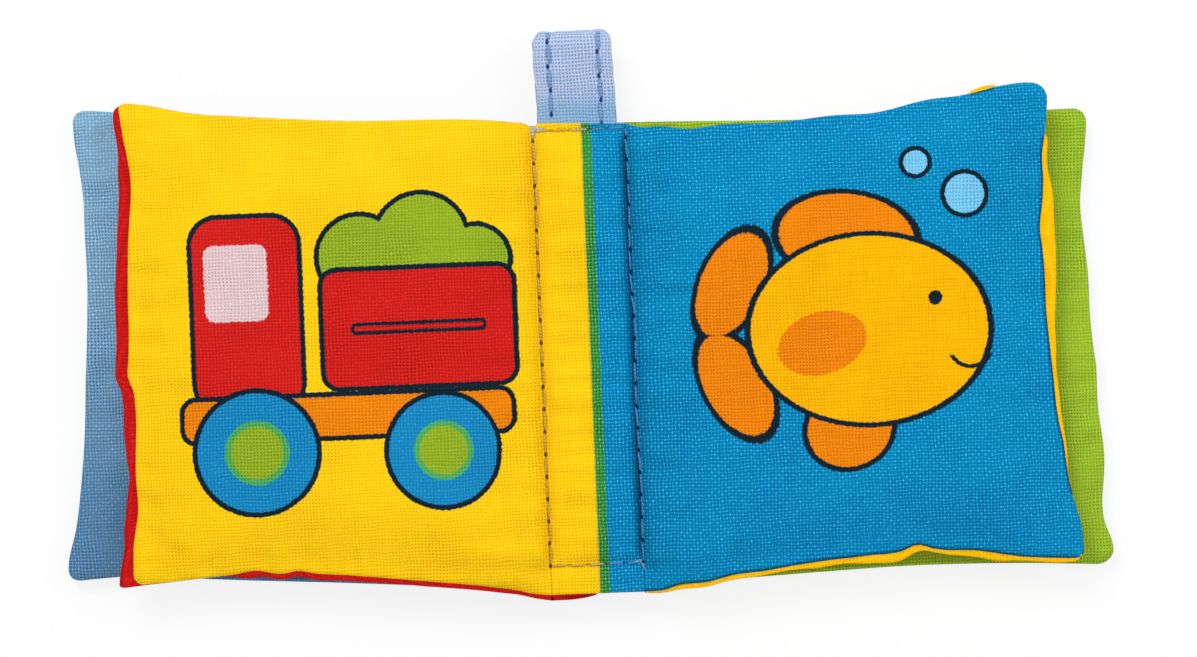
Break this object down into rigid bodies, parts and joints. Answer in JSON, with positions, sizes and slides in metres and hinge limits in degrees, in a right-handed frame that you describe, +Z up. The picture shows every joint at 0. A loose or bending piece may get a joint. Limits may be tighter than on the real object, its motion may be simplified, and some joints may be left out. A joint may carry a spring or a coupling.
{
  "type": "cloth crinkle book",
  "caption": "Small padded cloth book lying open: two sewn spreads stitched together at the spine, with crinkle film and wadding in each leaf and a folded strap loop.",
  "frame": {"origin": "on the floor, under the middle of the open book and its loop", "axes": "+X along the open book towards the right cover, +Y along the spine towards the hanging loop, +Z up"},
  "size_m": [0.2183, 0.1186, 0.0176],
  "materials": {
    "yellow_print_cotton": "woven cotton, printed yellow",
    "red_cotton": "woven cotton, red",
    "blue_print_cotton": "woven cotton, printed blue",
    "orange_yellow_cotton": "woven cotton, orange-yellow",
    "light_blue_cotton": "woven cotton, light blue",
    "green_cotton": "woven cotton, green",
    "cover_cotton": "woven cotton, light blue, plain",
    "spine_print_cotton": "woven cotton, printed yellow and blue with a green stripe where they meet",
    "wadding": "polyester wadding",
    "crinkle_film": "thin crinkly film",
    "spine_thread": "sewing thread, blue-grey",
    "strap_cotton": "woven cotton strap, pale blue",
    "strap_thread": "sewing thread, blue"
  },
  "bodies": {
    "spine": {"page_spread_front_spine": "spine_print_cotton", "page_spread_back_spine": "red_cotton", "cover_spread_inside_spine": "light_blue_cotton", "cover_spread_outside_spine": "cover_cotton", "spine_stitching": "spine_thread", "hanging_loop": "strap_cotton", "loop_stitching": "strap_thread"},
    "left_page": {"left_page_front_cloth": "yellow_print_cotton", "left_page_back_cloth": "red_cotton", "left_page_wadding": "wadding", "left_page_crinkle_film": "crinkle_film"},
    "right_page": {"right_page_front_cloth": "blue_print_cotton", "right_page_back_cloth": "orange_yellow_cotton", "right_page_wadding": "wadding", "right_page_crinkle_film": "crinkle_film"},
    "left_cover": {"left_cover_inside_cloth": "light_blue_cotton", "left_cover_outside_cloth": "cover_cotton", "left_cover_wadding": "wadding", "left_cover_crinkle_film": "crinkle_film"},
    "right_cover": {"right_cover_inside_cloth": "green_cotton", "right_cover_outside_cloth": "cover_cotton", "right_cover_wadding": "wadding", "right_cover_crinkle_film": "crinkle_film"}
  },
  "joints": [
    {"name": "left_page_hinge", "type": "hinge", "parent": "spine", "child": "left_page", "pos_m": [-0.00881, -0.00775, 0.0084], "axis": [0, 1, 0], "range_deg": [0, 90]},
    {"name": "left_cover_hinge", "type": "hinge", "parent": "left_page", "child": "left_cover", "pos_m": [-0.00881, -0.00775, 0.0084], "axis": [0, 1, 0], "range_deg": [-90, 0]},
    {"name": "right_page_hinge", "type": "hinge", "parent": "spine", "child": "right_page", "pos_m": [0.01179, -0.00775, 0.0084], "axis": [0, -1, 0], "range_deg": [0, 90]},
    {"name": "right_cover_hinge", "type": "hinge", "parent": "right_page", "child": "right_cover", "pos_m": [0.01179, -0.00775, 0.0084], "axis": [0, -1, 0], "range_deg": [-90, 0]}
  ]
}
